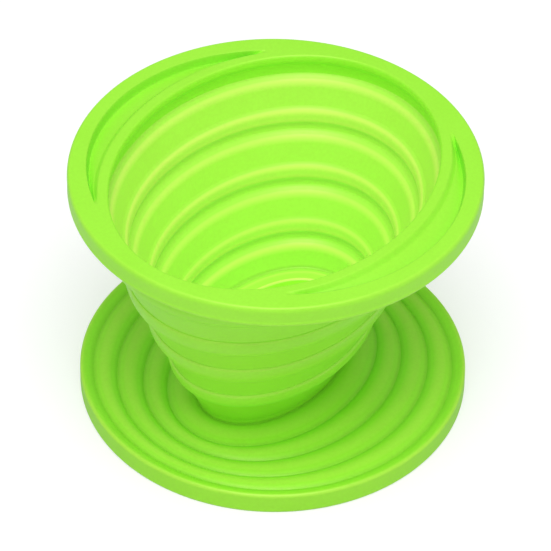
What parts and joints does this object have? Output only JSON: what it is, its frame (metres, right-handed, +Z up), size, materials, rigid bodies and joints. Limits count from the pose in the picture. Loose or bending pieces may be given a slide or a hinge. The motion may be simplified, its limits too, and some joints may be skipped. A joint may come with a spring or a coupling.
{
  "type": "collapsible coffee dripper",
  "caption": "Collapsible silicone pour-over coffee dripper: oval stepped funnel with flexible folds between a round rim and a round rippled base plate.",
  "frame": {"origin": "centre of the base's underside, on the table plane", "axes": "+Z up through the funnel's axis; +X along the long axis of the oval funnel; +Y along its short axis"},
  "size_m": [0.125, 0.125, 0.0856],
  "materials": {
    "silicone_rim": "satin",
    "silicone_ring": "satin",
    "silicone_fold": "satin",
    "silicone_base": "satin"
  },
  "bodies": {
    "base": {"base_skirt": "silicone_base", "base_plate": "silicone_base", "foot": "silicone_ring", "drip_floor": "silicone_ring"},
    "ring_3": {"wall_ring_3": "silicone_ring", "fold_4": "silicone_fold"},
    "ring_2": {"wall_ring_2": "silicone_ring", "fold_3": "silicone_fold"},
    "ring_1": {"wall_ring_1": "silicone_ring", "fold_2": "silicone_fold"},
    "rim": {"rim_ring": "silicone_rim", "rim_plate": "silicone_rim", "collar": "silicone_rim", "fold_1": "silicone_fold"}
  },
  "joints": [
    {"name": "close_4", "type": "slide", "parent": "base", "child": "ring_3", "axis": [0, 0, 1], "range_m": [-0.014, 0], "deforming": ["fold_4"]},
    {"name": "close_3", "type": "slide", "parent": "ring_3", "child": "ring_2", "axis": [0, 0, 1], "range_m": [-0.0156, 0], "deforming": ["fold_3"]},
    {"name": "close_2", "type": "slide", "parent": "ring_2", "child": "ring_1", "axis": [0, 0, 1], "range_m": [-0.016, 0], "deforming": ["fold_2"]},
    {"name": "close_1", "type": "slide", "parent": "ring_1", "child": "rim", "axis": [0, 0, 1], "range_m": [-0.0164, 0], "deforming": ["fold_1"]}
  ]
}
